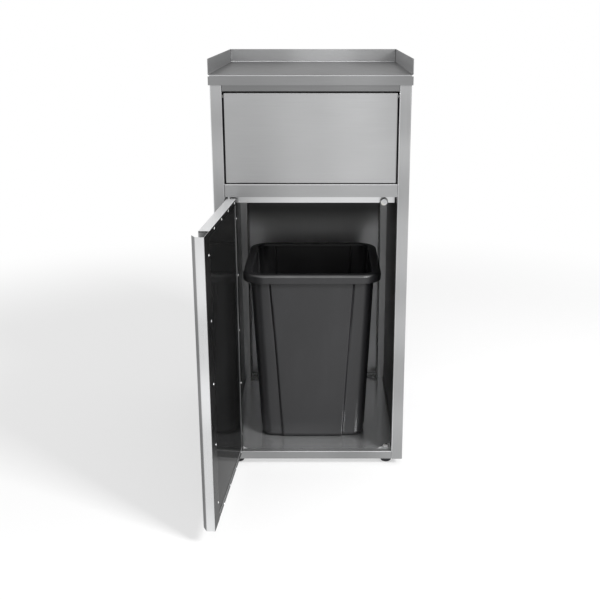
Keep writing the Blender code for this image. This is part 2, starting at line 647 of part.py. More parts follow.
def build_hinges(root, lower_rail, zinc, steel):
    """Add the lower pin in the bottom rail, and the upper pin in a bracket on the left post."""
    collar_low = base_level + SEAM
    collar_high = door_bottom - SEAM
    stem_low = base_level - TUBE_WALL - HINGE_HEAD
    tip = door_bottom + HINGE_PIN_REACH
    lower = [(0.0, stem_low), (HINGE_PIN_RADIUS, stem_low), (HINGE_PIN_RADIUS, collar_low),
             (HINGE_COLLAR_RADIUS, collar_low), (HINGE_COLLAR_RADIUS, collar_high),
             (HINGE_PIN_RADIUS, collar_high), (HINGE_PIN_RADIUS, tip), (0.0, tip)]
    add_closed("hinge_pin_bottom", turned(lower, "Z", door_axis), zinc, root, smooth=True)
    span = (base_level - TUBE_WALL - CUT_REACH, base_level + CUT_REACH)
    cut(lower_rail, hole("pin_hole_bottom", HINGE_PIN_RADIUS + RUNNING, "Z", door_axis, *span, root))

    plate_low = mid_rail_bottom
    plate_high = plate_low + HINGE_BRACKET_SHEET
    tab_high = plate_low + HINGE_BRACKET_TAB
    left = -opening + SEAM
    outline = [(left, plate_low), (left + HINGE_BRACKET_LENGTH, plate_low),
               (left + HINGE_BRACKET_LENGTH, plate_high), (left + HINGE_BRACKET_SHEET, plate_high),
               (left + HINGE_BRACKET_SHEET, tab_high), (left, tab_high)]
    bracket = prism(outline, "Y", HINGE_BRACKET_SETBACK, HINGE_BRACKET_SETBACK + HINGE_BRACKET_WIDTH)
    bracket = add_closed("hinge_bracket", bracket, steel, root)
    span = (plate_low - CUT_REACH, plate_high + CUT_REACH)
    cut(bracket, hole("pin_hole_top", HINGE_PIN_RADIUS + RUNNING, "Z", door_axis, *span, root))
    head = plate_high + SEAM
    tip = door_top - HINGE_PIN_REACH
    upper = [(0.0, tip), (HINGE_PIN_RADIUS, tip), (HINGE_PIN_RADIUS, head), (HINGE_HEAD_RADIUS, head),
             (HINGE_HEAD_RADIUS, head + HINGE_HEAD), (0.0, head + HINGE_HEAD)]
    add_closed("hinge_pin_top", turned(upper, "Z", door_axis), zinc, root, smooth=True)


def bin_loop(half_x, half_y, corner, level, panel, step, proud):
    """Return one level of the bin: a rounded rectangle with a panel that stands proud on each side.

    The panel's steps end before the corners begin.
    """
    points = []
    for turn, (reach, run) in enumerate(((half_x, half_y), (half_y, half_x)) * 2):
        wide = min(panel / 2, run - corner - 2 * step)
        side = [(reach, -wide - step), (reach + proud, -wide), (reach + proud, wide), (reach, wide + step)]
        side += arc((reach - corner, run - corner), corner, 0, 90, CORNER_SEGMENTS)
        spin = Matrix.Rotation(turn * math.pi / 2, 2)
        points += [(*(spin @ Vector(p)), level) for p in side]
    return points


def bin_levels():
    """Return the bin's levels from the middle of its underside, over the rim, to its floor inside."""
    under_rim = BIN_HEIGHT - BIN_RIM_TOP
    skirt = BIN_HEIGHT - BIN_RIM_HEIGHT
    levels = []

    def add(level, grow=0.0, corner=BIN_CORNER, panelled=True):
        """Add a level of the tapered body, grown outwards or shrunk inwards."""
        def at_level(bottom, top):
            """Return a size of the tapered body at this level."""
            return bottom + (top - bottom) * level / BIN_HEIGHT

        half_x = at_level(BIN_BOTTOM_WIDTH, BIN_TOP_WIDTH) / 2 + grow
        half_y = at_level(BIN_BOTTOM_DEPTH, BIN_TOP_DEPTH) / 2 + grow
        panel = at_level(BIN_PANEL_BOTTOM_WIDTH, BIN_PANEL_TOP_WIDTH)
        step = at_level(BIN_PANEL_BOTTOM_STEP, BIN_PANEL_TOP_STEP)
        proud = at_level(BIN_PANEL_BOTTOM_PROUD, BIN_PANEL_TOP_PROUD) if panelled else 0.0
        levels.append(bin_loop(half_x, half_y, corner, level, panel, step, proud))

    for inset, level in arc((BIN_BOTTOM_EDGE, BIN_BOTTOM_EDGE), BIN_BOTTOM_EDGE, 270, 180, EDGE_SEGMENTS):
        add(level, -inset)
    add(under_rim)
    rim = BIN_RIM_OVERHANG
    add(under_rim, rim - BIN_WALL, BIN_RIM_CORNER - BIN_WALL, panelled=False)
    add(skirt, rim - BIN_WALL, BIN_RIM_CORNER - BIN_WALL, panelled=False)
    add(skirt, rim, BIN_RIM_CORNER, panelled=False)
    for inset, level in arc((BIN_RIM_TOP, under_rim), BIN_RIM_TOP, 180, 90, EDGE_SEGMENTS):
        add(level, rim - inset, BIN_RIM_CORNER, panelled=False)
    inner_corner = BIN_CORNER - BIN_WALL
    add(BIN_HEIGHT)
    add(under_rim, -BIN_WALL, inner_corner)
    add(BIN_BOTTOM_EDGE, -BIN_WALL, inner_corner)
    add(BIN_WALL, -BIN_BOTTOM_EDGE, inner_corner)
    return levels


def build_bin(root, plastic):
    """Add the moulded bin, which stands loose on the cabinet floor."""
    rim_depth = BIN_TOP_DEPTH / 2 + BIN_RIM_OVERHANG
    body = pivot("bin_seat", (0.0, BIN_FROM_FRONT + rim_depth, floor_level + SEAM), root)
    bm = bmesh.new()
    loops = [[bm.verts.new(p) for p in level] for level in bin_levels()]
    bm.faces.new(loops[0])
    bm.faces.new(loops[-1])
    for first, second in zip(loops, loops[1:]):
        bridge(bm, first, second)
    add_closed("waste_bin", bm, plastic, body, smooth=True)


def stand_on_middle(root):
    """Move the whole so that the middle of its footprint, as it stands, is the origin."""
    bpy.context.view_layer.update()
    depsgraph = bpy.context.evaluated_depsgraph_get()
    corners = []
    for item in bpy.context.scene.objects:
        if item.type == "MESH" and not item.hide_render:
            shape = item.evaluated_get(depsgraph)
            corners += [item.matrix_world @ Vector(v.co) for v in shape.data.vertices]
    low = [min(c[i] for c in corners) for i in range(3)]
    high = [max(c[i] for c in corners) for i in range(3)]
    root.location = (-(low[0] + high[0]) / 2, -(low[1] + high[1]) / 2, -low[2])
    bpy.context.view_layer.update()


def main():
    """Build the whole cabinet."""
    clear_scene()
    steel = finish("brushed_steel", (0.56, 0.57, 0.57), 0.34, 1.0)
    inner_steel = finish("bright_steel", (0.50, 0.51, 0.51), 0.20, 1.0)
    zinc = finish("zinc", (0.72, 0.73, 0.74), 0.35, 1.0)
    nylon = finish("nylon", (0.80, 0.80, 0.77), 0.45, 0.0)
    rubber = finish("black_rubber", (0.025, 0.025, 0.027), 0.75, 0.0)
    plastic = finish("black_plastic", (0.030, 0.031, 0.033), 0.45, 0.0)
    root = pivot("cabinet", (0.0, 0.0, 0.0))
    tubes = build_frame(root, steel)
    build_panels(root, steel, inner_steel)
    floor_sheet = build_floor(root, inner_steel)
    build_tray(root, steel)
    catch_x = opening - CATCH_FROM_POST
    catch_level = mid_rail_bottom - CATCH_BELOW_RAIL
    build_mid_rail(root, steel, catch_x, catch_level)
    build_catch(root, zinc, steel, catch_x, catch_level)
    build_feet(root, floor_sheet, steel, zinc, rubber)
    build_flap(root, tubes, steel, zinc, nylon)
    build_door(root, tubes["rail_bottom_front"], steel, inner_steel, zinc, nylon)
    build_bin(root, plastic)
    stand_on_middle(root)


main()
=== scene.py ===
"""Looks of the waste bin cabinet: sheet steel, door rivets, moulded bin, studio and camera."""

import json
import logging
import math
from dataclasses import dataclass
from enum import Enum
from typing import Any, ClassVar, List, Mapping, Optional, Sequence, Tuple, Union

import bmesh
import bpy
from mathutils import Matrix, Vector


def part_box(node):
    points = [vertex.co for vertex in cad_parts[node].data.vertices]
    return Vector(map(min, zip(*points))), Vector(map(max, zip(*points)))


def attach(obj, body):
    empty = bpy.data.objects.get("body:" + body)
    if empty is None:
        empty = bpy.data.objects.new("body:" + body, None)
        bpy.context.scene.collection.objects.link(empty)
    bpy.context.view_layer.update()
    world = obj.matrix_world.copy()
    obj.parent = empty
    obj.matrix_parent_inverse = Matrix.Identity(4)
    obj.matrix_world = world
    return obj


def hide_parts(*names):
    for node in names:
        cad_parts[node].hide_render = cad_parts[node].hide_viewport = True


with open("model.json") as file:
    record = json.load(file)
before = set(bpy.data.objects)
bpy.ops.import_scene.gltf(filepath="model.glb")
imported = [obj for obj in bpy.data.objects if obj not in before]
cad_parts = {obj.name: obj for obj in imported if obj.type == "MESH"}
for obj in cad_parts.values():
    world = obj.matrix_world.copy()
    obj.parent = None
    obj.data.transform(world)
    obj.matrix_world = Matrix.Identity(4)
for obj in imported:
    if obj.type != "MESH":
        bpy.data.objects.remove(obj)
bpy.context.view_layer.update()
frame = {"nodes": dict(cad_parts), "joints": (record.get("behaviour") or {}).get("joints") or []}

Pair = Tuple[float, float]
Point = Tuple[float, float, float]
Colour = Tuple[float, float, float]
Key = Union[int, str]

LOG = logging.getLogger("cabinet")
CORNERS = ("front_left", "front_right", "rear_left", "rear_right")
SIDES = ("left", "right")

# Places of the colour sockets on a Mix node
MIX_FACTOR = 0
MIX_LOW = 6
MIX_HIGH = 7
MIX_RESULT = 2
# The value that noise varies about
NOISE_MIDDLE = 0.5
# Edges that bend by more than this many degrees are shaded as sharp
SHARP_ANGLE = 40.0
# Angle at which the door stands open, in degrees
OPEN_ANGLE = 94.0


class Socket:
    """An output of a shader graph, with arithmetic that adds Math nodes."""

    def __init__(self, graph: "Graph", output: bpy.types.NodeSocket) -> None:
        """Keep the graph and the output that this stands for."""
        self.graph = graph
        self.output = output

    def math(self, operation: str, *others: "Value", swap: bool = False) -> "Socket":
        """Return the result of a Math node, where swap puts this socket last."""
        operands = [*others, self] if swap else [self, *others]
        return self.graph.node("ShaderNodeMath", {"operation": operation}, dict(enumerate(operands)))

    def __add__(self, other: "Value") -> "Socket":
        """Return this plus a value."""
        return self.math("ADD", other)

    def __radd__(self, other: "Value") -> "Socket":
        """Return a value plus this."""
        return self.math("ADD", other, swap=True)

    def __sub__(self, other: "Value") -> "Socket":
        """Return this minus a value."""
        return self.math("SUBTRACT", other)

    def __rsub__(self, other: "Value") -> "Socket":
        """Return a value minus this."""
        return self.math("SUBTRACT", other, swap=True)

    def __mul__(self, other: "Value") -> "Socket":
        """Return this times a value."""
        return self.math("MULTIPLY", other)

    def __rmul__(self, other: "Value") -> "Socket":
        """Return a value times this."""
        return self.math("MULTIPLY", other, swap=True)

    def largest(self, other: "Value") -> "Socket":
        """Return the larger of this and a value."""
        return self.math("MAXIMUM", other)

    def smallest(self, other: "Value") -> "Socket":
        """Return the smaller of this and a value."""
        return self.math("MINIMUM", other)

    def smooth(self, low: float, high: float) -> "Socket":
        """Return a smooth step from 0 at low to 1 at high."""
        values = {"Value": self, "From Min": low, "From Max": high}
        return self.graph.node("ShaderNodeMapRange", {"interpolation_type": "SMOOTHSTEP"}, values)


Value = Union[Socket, float]
Paint = Union[Socket, Colour]
Input = Union[Socket, float, Sequence[float]]


class Graph:
    """The node tree of one material or of the world."""

    def __init__(self, tree: bpy.types.NodeTree) -> None:
        """Start from an empty tree."""
        self.tree = tree
        tree.nodes.clear()

    def node(
        self,
        kind: str,
        settings: Optional[Mapping[str, Any]] = None,
        values: Optional[Mapping[Key, Input]] = None,
        output: Key = 0,
    ) -> Socket:
        """Add a node of any type.

        Args:
            kind: Blender's name of the node type.
            settings: Properties of the node, set before its sockets.
            values: Values or links of its input sockets, by name or place.
            output: The output that is returned.

        Returns:
            The chosen output.
        """
        made = self.tree.nodes.new(kind)
        for name, setting in (settings or {}).items():
            setattr(made, name, setting)
        for key, value in (values or {}).items():
            if isinstance(value, Socket):
                self.tree.links.new(value.output, made.inputs[key])
            else:
                made.inputs[key].default_value = value
        return Socket(self, made.outputs[output] if made.outputs else None)

    def place(self) -> Socket:
        """Return the point on the piece, in metres."""
        return self.node("ShaderNodeTexCoord", output="Object")

    def height(self) -> Socket:
        """Return the level of the point on the piece, in metres."""
        return self.node("ShaderNodeSeparateXYZ", None, {"Vector": self.place()}, output="Z")

    def stretched(self, vector: Socket, factors: Sequence[float]) -> Socket:
        """Return a vector multiplied axis by axis."""
        return self.node("ShaderNodeVectorMath", {"operation": "MULTIPLY"}, {0: vector, 1: factors})

    def noise(self, vector: Socket, scale: float = 1.0, detail: float = 2.0) -> Socket:
        """Return fractal noise; scale is in features per unit and detail in octaves."""
        values = {"Vector": vector, "Scale": scale, "Detail": detail}
        return self.node("ShaderNodeTexNoise", {"noise_dimensions": "3D"}, values)

    def blend(self, factor: Socket, low: Paint, high: Paint) -> Socket:
        """Return a colour between two.

        Args:
            factor: 0 gives the first colour and 1 the second.
            low: The first colour.
            high: The second colour.

        Returns:
            The mixed colour.
        """
        ends = [end if isinstance(end, Socket) else (*end, 1.0) for end in (low, high)]
        values = {MIX_FACTOR: factor, MIX_LOW: ends[0], MIX_HIGH: ends[1]}
        return self.node("ShaderNodeMix", {"data_type": "RGBA"}, values, output=MIX_RESULT)

    def bump(self, height: Socket, strength: float, depth: float) -> Socket:
        """Return a normal that follows a height; strength is the share that shows, depth is in metres."""
        values = {"Strength": strength, "Distance": depth, "Height": height}
        return self.node("ShaderNodeBump", None, values)

    def surface(self, values: Mapping[Key, Input]) -> None:
        """Finish the graph with a Principled shader."""
        shader = self.node("ShaderNodeBsdfPrincipled", None, values)
        self.node("ShaderNodeOutputMaterial", None, {"Surface": shader})


class Grain(Enum):
    """Axis along which a sheet or tube is brushed."""

    ALONG_X = 0
    ALONG_Y = 1
    ALONG_Z = 2

    def scales(self, along: float, across: float) -> Point:
        """Return the noise scale for each axis."""
        return tuple(along if axis == self.value else across for axis in range(3))


@dataclass(frozen=True)
class Facing:
    """Painted light or shade on faces that look one way, such as painted highlights on bends and painted
    shade on faces turned away; it can be matt and fade in upwards.
    """

    direction: Point
    grey: float
    # Cosines of a face's turn from the direction between which the tone fades in
    reach: Pair = (0.84, 0.91)
    # Levels between which it fades in upwards, in metres
    rise: Optional[Pair] = None
    # Share of the metal's shine that goes
    matt: float = 0.0

    def mask(self, graph: Graph) -> Socket:
        """Find these faces.

        Args:
            graph: The graph of the finish.

        Returns:
            1 on these faces and 0 on the others.
        """
        normal = graph.node("ShaderNodeTexCoord", output="Normal")
        along = Vector(self.direction).normalized()
        values = {0: normal, 1: tuple(along)}
        turned = graph.node("ShaderNodeVectorMath", {"operation": "DOT_PRODUCT"}, values, "Value")
        facing = turned.smooth(*self.reach)
        return facing * graph.height().smooth(*self.rise) if self.rise else facing


@dataclass(frozen=True)
class Band:
    """A painted highlight on a strip between two levels, in metres."""

    low: float
    high: float
    grey: float
    edge: float = 0.0008
    matt: float = 0.0

    def mask(self, graph: Graph) -> Socket:
        """Find this strip.

        Args:
            graph: The graph of the finish.

        Returns:
            1 between the levels and 0 outside them.
        """
        height = graph.height()
        above = height.smooth(self.low - self.edge, self.low + self.edge)
        return above - height.smooth(self.high - self.edge, self.high + self.edge)


@dataclass(frozen=True)
class Finish:
    """A finish with a name of its own."""

    name: str

    def material(self) -> bpy.types.Material:
        """Make the finish's material on first use.

        Returns:
            The material.
        """
        made = bpy.data.materials.get(self.name)
        if made is None:
            made = bpy.data.materials.new(self.name)
            made.use_nodes = True
            self.fill(Graph(made.node_tree))
        return made

    def fill(self, graph: Graph) -> None:
        """Build the finish's nodes."""
        raise NotImplementedError


@dataclass(frozen=True)
class Steel(Finish):
    """Stainless sheet or tube with a brushed grain, uneven polish, faint haze and wiping marks."""

    grain: Grain
    grey: float
    roughness: float
    # Zones of painted highlight and painted shade, by facing or by level
    zones: Tuple[Union[Facing, Band], ...] = ()
    # How far the grain, and the clouds with the wiping marks, change the roughness
    streak: float = 0.08
    haze: float = 0.05
    # Strength of the grain's bump, and brightness at grazing angles
    relief: float = 0.03
    edge: float = 0.80
    metallic: float = 1.0

    # Noise scales per metre: along and across the grain, or for each axis
    LINE_SCALES: ClassVar[Pair] = (11.0, 620.0)
    SWEEP_SCALES: ClassVar[Pair] = (5.5, 0.8)
    CLOUD_SCALE: ClassVar[float] = 7.0
    WIPE_SCALES: ClassVar[Point] = (5.0, 5.0, 16.0)
    WIPE_FINENESS: ClassVar[float] = 1.3
    # Where the noise of sweeps and wiping marks starts and ends
    SWEEP_SPAN: ClassVar[Pair] = (0.32, 0.68)
    WIPE_SPAN: ClassVar[Pair] = (0.52, 0.70)
    # Shares of the tone and of the haze
    LINE_SHARE: ClassVar[float] = 0.27
    CLOUD_SHARE: ClassVar[float] = 0.15
    SWEEP_SHARE: ClassVar[float] = 0.58
    WIPE_SHARE: ClassVar[float] = 0.5
    # Darkest and lightest tone of a grey, and its cool tint
    TONE_RANGE: ClassVar[Pair] = (0.83, 1.17)
    COOL_TINT: ClassVar[Colour] = (1.0, 1.006, 1.015)
    GRAIN_DEPTH: ClassVar[float] = 0.0004

    def tones(self, grey: float) -> Tuple[Colour, ...]:
        """Return the darkest and the lightest tone of a grey."""
        return tuple(tuple(grey * factor * tint for tint in self.COOL_TINT) for factor in self.TONE_RANGE)

    def fill(self, graph: Graph) -> None:
        """Build grain, uneven polish, haze, wiping marks, and zones of painted highlight and painted
        shade.

        Args:
            graph: The graph that takes the nodes.
        """
        place = graph.place()
        lines = graph.noise(graph.stretched(place, self.grain.scales(*self.LINE_SCALES)), detail=3.0)
        sweep = graph.noise(graph.stretched(place, self.grain.scales(*self.SWEEP_SCALES)), detail=0.0)
        sweep = sweep.smooth(*self.SWEEP_SPAN)
        cloud = graph.noise(place, self.CLOUD_SCALE, detail=3.0)
        wiped = graph.noise(graph.stretched(place, self.WIPE_SCALES), self.WIPE_FINENESS)
        wiped = wiped.smooth(*self.WIPE_SPAN)
        tone = self.LINE_SHARE * lines + self.CLOUD_SHARE * cloud + self.SWEEP_SHARE * sweep
        colour = graph.blend(tone, *self.tones(self.grey))
        shine: Value = self.metallic
        # Each zone paints a lighter or darker tone over the steel: painted highlight or painted shade
        for zone in self.zones:
            painted_tone = graph.blend(tone, *self.tones(zone.grey))
            mask = zone.mask(graph)
            colour = graph.blend(mask, colour, painted_tone)
            shine = shine - zone.matt * mask if zone.matt else shine
        hazy = self.haze * (cloud + sweep - 2 * NOISE_MIDDLE) + self.WIPE_SHARE * self.haze * wiped
        graph.surface({
            "Base Color": colour,
            "Metallic": shine,
            "Roughness": self.roughness + self.streak * (lines - NOISE_MIDDLE) + hazy,
            "Specular Tint": (self.edge, self.edge, self.edge, 1.0),
            "Normal": graph.bump(lines, self.relief, self.GRAIN_DEPTH),
        })


@dataclass(frozen=True)
class BrightSteel(Steel):
    """Smooth, bright stainless sheet inside the cabinet, with little grain."""

    streak: float = 0.04
    haze: float = 0.03
    relief: float = 0.02


@dataclass(frozen=True)
class Plated(Finish):
    """Zinc-plated steel with a faint iridescent cloud."""

    cool: Colour
    warm: Colour
    roughness: float
    metallic: float = 1.0

    CLOUD_SCALE: ClassVar[float] = 90.0
    CLOUD_SPAN: ClassVar[Pair] = (0.35, 0.65)
    PIT_SCALE: ClassVar[float] = 1500.0
    PIT_DULLNESS: ClassVar[float] = 0.18
    PIT_STRENGTH: ClassVar[float] = 0.10
    PIT_DEPTH: ClassVar[float] = 0.0003

    def fill(self, graph: Graph) -> None:
        """Build the plating's cloud and its fine pitting.

        Args:
            graph: The graph that takes the nodes.
        """
        place = graph.place()
        cloud = graph.noise(place, self.CLOUD_SCALE)
        pits = graph.noise(place, self.PIT_SCALE)
        graph.surface({
            "Base Color": graph.blend(cloud.smooth(*self.CLOUD_SPAN), self.cool, self.warm),
            "Metallic": self.metallic,
            "Roughness": self.roughness + self.PIT_DULLNESS * (pits - NOISE_MIDDLE),
            "Normal": graph.bump(pits, self.PIT_STRENGTH, self.PIT_DEPTH),
        })


@dataclass(frozen=True)
class Moulding(Finish):
    """Plastic or rubber with a fine moulded skin and rubbed patches."""

    dark: Colour
    light: Colour
    roughness: float
    skin_scale: float
    skin_strength: float
    rubbed: float
    # Zones of painted highlight, such as along the bin rim's rolled edge
    zones: Tuple[Facing, ...] = ()

    FLOW_STRETCH: ClassVar[Point] = (3.0, 3.0, 1.2)
    FLOW_SCALE: ClassVar[float] = 3.0
    FLOW_SPAN: ClassVar[Pair] = (0.45, 0.75)
    FLOW_SHARE: ClassVar[float] = 0.5
    SCUFF_SCALES: ClassVar[Point] = (120.0, 120.0, 9.0)
    SCUFF_SPAN: ClassVar[Pair] = (0.60, 0.78)
    SCUFF_SHARE: ClassVar[float] = 0.6
    # Least share of a zone's painted highlight, where nothing is rubbed
    ZONE_LEAST: ClassVar[float] = 0.6
    SKIN_DULLNESS: ClassVar[float] = 0.10
    SKIN_DEPTH: ClassVar[float] = 0.0004

    def fill(self, graph: Graph) -> None:
        """Build the skin, the flow marks, the rubbed patches, and a painted highlight on edges that is
        stronger where they are rubbed.

        Args:
            graph: The graph that takes the nodes.
        """
        place = graph.place()
        skin = graph.noise(place, self.skin_scale)
        flow = graph.noise(graph.stretched(place, self.FLOW_STRETCH), self.FLOW_SCALE, detail=3.0)
        scuffs = graph.noise(graph.stretched(place, self.SCUFF_SCALES), detail=4.0)
        scuffs = scuffs.smooth(*self.SCUFF_SPAN)
        worn = (self.SCUFF_SHARE * scuffs + flow.smooth(*self.FLOW_SPAN)).smallest(1.0)
        mottle = self.FLOW_SHARE * flow + (1.0 - self.FLOW_SHARE) * worn
        colour = graph.blend(mottle, self.dark, self.light)
        # Each zone paints a highlight, stronger where the surface is rubbed
        for zone in self.zones:
            share = zone.mask(graph) * (self.ZONE_LEAST + (1.0 - self.ZONE_LEAST) * worn)
            colour = graph.blend(share, colour, (zone.grey,) * 3)
        matt = self.rubbed * (worn - NOISE_MIDDLE) + self.SKIN_DULLNESS * (skin - NOISE_MIDDLE)
        graph.surface({
            "Base Color": colour,
            "Roughness": self.roughness + matt,
            "Normal": graph.bump(skin, self.skin_strength, self.SKIN_DEPTH),
        })


# Directions in the cabinet's frame, and the open door's own two
UP: Point = (0.0, 0.0, 1.0)
LEFT: Point = (-1.0, 0.0, 0.0)
RIGHT: Point = (1.0, 0.0, 0.0)
FRONT: Point = (0.0, -1.0, 0.0)
FRONT_FOLD: Point = (0.0, -1.0, 1.0)
FLAP_CORNER: Point = (1.0, -3.0, 1.0)
LEFT_FRONT_BEND: Point = (-1.0, -1.0, 0.0)
RIGHT_FRONT_BEND: Point = (1.0, -1.0, 0.0)
DOOR_TURN = math.radians(OPEN_ANGLE)
DOOR_INWARDS: Point = (math.sin(DOOR_TURN), math.cos(DOOR_TURN), 0.0)
DOOR_EDGE: Point = (math.cos(DOOR_TURN), -math.sin(DOOR_TURN), 0.0)

# Levels between which a zone lies or fades in, in metres
STOP_LIP: Pair = (0.730, 0.7575)
UPSTAND: Pair = (1.0665, 1.110)
TRAY_FOLD: Pair = (1.0600, 1.0665)
REAR_FOLD: Pair = (1.0632, 1.0638)
UPPER_BACK: Pair = (0.53, 0.61)

# Painted highlight on the posts' left front bend
POST_ZONES = (Facing(LEFT_FRONT_BEND, grey=0.95),)
# Painted highlight on faces that look up, such as the rails' top faces
RAIL_ZONES = (
    Facing(UP, grey=0.80, reach=(0.50, 0.70)),
    Facing(UP, grey=0.80, reach=(0.75, 0.95), matt=0.13),
)
# Painted highlight on the mid rail's top face and on its stop lip
MID_RAIL_ZONES = (Facing(UP, grey=0.70), Band(*STOP_LIP, grey=0.66))
# Painted light on the tray's upstands and floor, painted shade on its vertical corner bends, and painted
# highlights along its front and rear folds
TRAY_ZONES = (
    Band(*UPSTAND, grey=0.42),
    Facing(LEFT, grey=0.55, rise=TRAY_FOLD, matt=0.60),
    Facing(RIGHT, grey=0.42, rise=TRAY_FOLD, matt=0.20),
    Facing(UP, grey=0.40),
    Facing(LEFT_FRONT_BEND, grey=0.14),
    Facing(RIGHT_FRONT_BEND, grey=0.14),
    Facing(FRONT_FOLD, grey=0.29),
    Facing(FRONT_FOLD, grey=0.90, rise=REAR_FOLD, matt=0.55),
)
# Painted shade on the flap's top and right bends, darker still at their corner to hold back a highlight
FLAP_ZONES = (
    Facing(FRONT_FOLD, grey=0.24),
    Facing(RIGHT_FRONT_BEND, grey=0.24),
    Facing(FLAP_CORNER, grey=0.06, reach=(0.955, 0.985)),
)
# Painted shade on the door's faces turned inwards, and painted light on its top flange
DOOR_ZONES = (Facing(DOOR_INWARDS, grey=0.09), Facing(UP, grey=0.72, matt=0.58))
# Painted light on the pull's edge strip and top, and painted shade on its faces turned inwards
PULL_ZONES = (
    Facing(DOOR_EDGE, grey=0.68, reach=(0.80, 0.97)),
    Facing(DOOR_INWARDS, grey=0.14),
    Facing(UP, grey=0.60),
)
# Painted light on the back wall's front face, and painted shade over its upper part
BACK_ZONES = (Facing(FRONT, grey=0.72, matt=0.70), Facing(FRONT, grey=0.09, rise=UPPER_BACK))
# Painted highlight along the bin rim's rolled front edge
BIN_ZONES = (Facing(FRONT_FOLD, grey=0.11, reach=(0.80, 0.97)),)

POST = Steel("satin_post", Grain.ALONG_Z, grey=0.36, roughness=0.34, zones=POST_ZONES)
PANEL = Steel("satin_sheet", Grain.ALONG_Z, grey=0.34, roughness=0.34)
RAIL = Steel("satin_rail", Grain.ALONG_X, grey=0.30, roughness=0.32, zones=RAIL_ZONES)
# A darker copy of the rail steel: painted shade on the front top rail under the tray's apron
SHADED_TOP_RAIL = Steel("shaded_top_rail", Grain.ALONG_X, grey=0.20, roughness=0.34)
MID_RAIL = Steel("satin_mid_rail", Grain.ALONG_X, grey=0.35, roughness=0.32, zones=MID_RAIL_ZONES)
DEEP_RAIL = Steel("satin_side_rail", Grain.ALONG_Y, grey=0.33, roughness=0.32)
TRAY = Steel("satin_tray", Grain.ALONG_X, grey=0.255, roughness=0.34, zones=TRAY_ZONES, edge=0.38)
FLAP_SHEET = Steel("satin_flap", Grain.ALONG_X, grey=0.40, roughness=0.36, zones=FLAP_ZONES)
DOOR_SHEET = Steel("satin_door", Grain.ALONG_Z, grey=0.40, roughness=0.34, zones=DOOR_ZONES, edge=0.65)
PULL_SHEET = Steel("satin_pull", Grain.ALONG_Z, grey=0.33, roughness=0.30, zones=PULL_ZONES, edge=0.50)
LEFT_LINER = BrightSteel("bright_left_liner", Grain.ALONG_Z, grey=0.34, roughness=0.30)
# A darker copy of the liner steel: painted shade on the right wall inside
SHADED_RIGHT_LINER = BrightSteel("shaded_right_liner", Grain.ALONG_Z, grey=0.11, roughness=0.32)
BACK_SHEET = BrightSteel("bright_back", Grain.ALONG_Z, grey=0.34, roughness=0.30, zones=BACK_ZONES)
DOOR_LINER = BrightSteel("bright_door_liner", Grain.ALONG_Z, grey=0.16, roughness=0.09,
                         streak=0.02, haze=0.02, relief=0.01, edge=0.30, metallic=0.93)
# A much lighter copy of the liner steel: painted light on the floor sheet inside, which faces up
LIT_FLOOR_LINER = BrightSteel("lit_floor_sheet", Grain.ALONG_X, grey=0.90, roughness=0.22,
                          streak=0.05, haze=0.05, metallic=0.84)
ZINC = Plated("zinc_plate", cool=(0.50, 0.51, 0.53), warm=(0.56, 0.55, 0.52), roughness=0.40)
# Darker, rougher zinc for the flap pins: painted shade that keeps them dim
DULL_SHADED_ZINC = Plated("dull_shaded_zinc", cool=(0.15, 0.15, 0.16), warm=(0.19, 0.19, 0.18), roughness=0.72)
GALVANISED = Plated("galvanised_plate", cool=(0.80, 0.81, 0.82), warm=(0.90, 0.90, 0.89),
                    roughness=0.50, metallic=0.35)
RIVET = Plated("bright_rivet", cool=(0.80, 0.81, 0.82), warm=(0.88, 0.88, 0.87), roughness=0.24)
NYLON = Moulding("grey_nylon", dark=(0.30, 0.30, 0.29), light=(0.40, 0.40, 0.38),
                 roughness=0.42, skin_scale=900.0, skin_strength=0.06, rubbed=0.10)
DARK_NYLON = Moulding("dark_nylon", dark=(0.05, 0.05, 0.05), light=(0.08, 0.08, 0.08),
                      roughness=0.46, skin_scale=900.0, skin_strength=0.06, rubbed=0.10)
RUBBER = Moulding("black_rubber", dark=(0.010, 0.010, 0.011), light=(0.030, 0.030, 0.031),
                  roughness=0.74, skin_scale=1300.0, skin_strength=0.20, rubbed=0.12)
PLASTIC = Moulding("black_moulding", dark=(0.013, 0.013, 0.014), light=(0.024, 0.024, 0.026),
                   roughness=0.41, skin_scale=1100.0, skin_strength=0.08, rubbed=0.06, zones=BIN_ZONES)


def dress(node: str, finish: Finish) -> None:
    """Give a CAD node its finish.

    Args:
        node: Name of the CAD node.
        finish: The finish that it takes.
    """
    mesh = frame["nodes"][node].data
    mesh.materials.clear()
    mesh.materials.append(finish.material())
    LOG.info("%s: %s", node, finish.name)


def add_piece(name: str, bm: bmesh.types.BMesh, finish: Finish, body: str) -> bpy.types.Object:
    """Turn a finished bmesh into a piece that rides on a body.

    Args:
        name: Name of the piece.
        bm: Its mesh, which is freed.
        finish: The finish that it takes.
        body: The CAD body that it moves with.

    Returns:
        The new piece.
    """
    mesh = bpy.data.meshes.new(name)
    bm.to_mesh(mesh)
    bm.free()
    mesh.shade_smooth()
    mesh.set_sharp_from_angle(angle=math.radians(SHARP_ANGLE))
    mesh.materials.append(finish.material())
    piece = bpy.data.objects.new(name, mesh)
    bpy.context.scene.collection.objects.link(piece)
    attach(piece, body)
    LOG.info("%s: %d faces", name, len(mesh.polygons))
    return piece


def arc(centre: Pair, radius: float, start: float, end: float, count: int) -> List[Pair]:
    """Return points on an arc, both ends included.

    Args:
        centre: Middle of the arc.
        radius: Its radius.
        start: Angle of the first point, in degrees.
        end: Angle of the last point, in degrees.
        count: Number of steps.

    Returns:
        The points.
    """
    turns = [math.radians(start + (end - start) * i / count) for i in range(count + 1)]
    return [(centre[0] + radius * math.cos(t), centre[1] + radius * math.sin(t)) for t in turns]


def ease(share: float) -> float:
    """Return a smooth step for a share between 0 and 1."""
    return share * share * (3.0 - 2.0 * share)


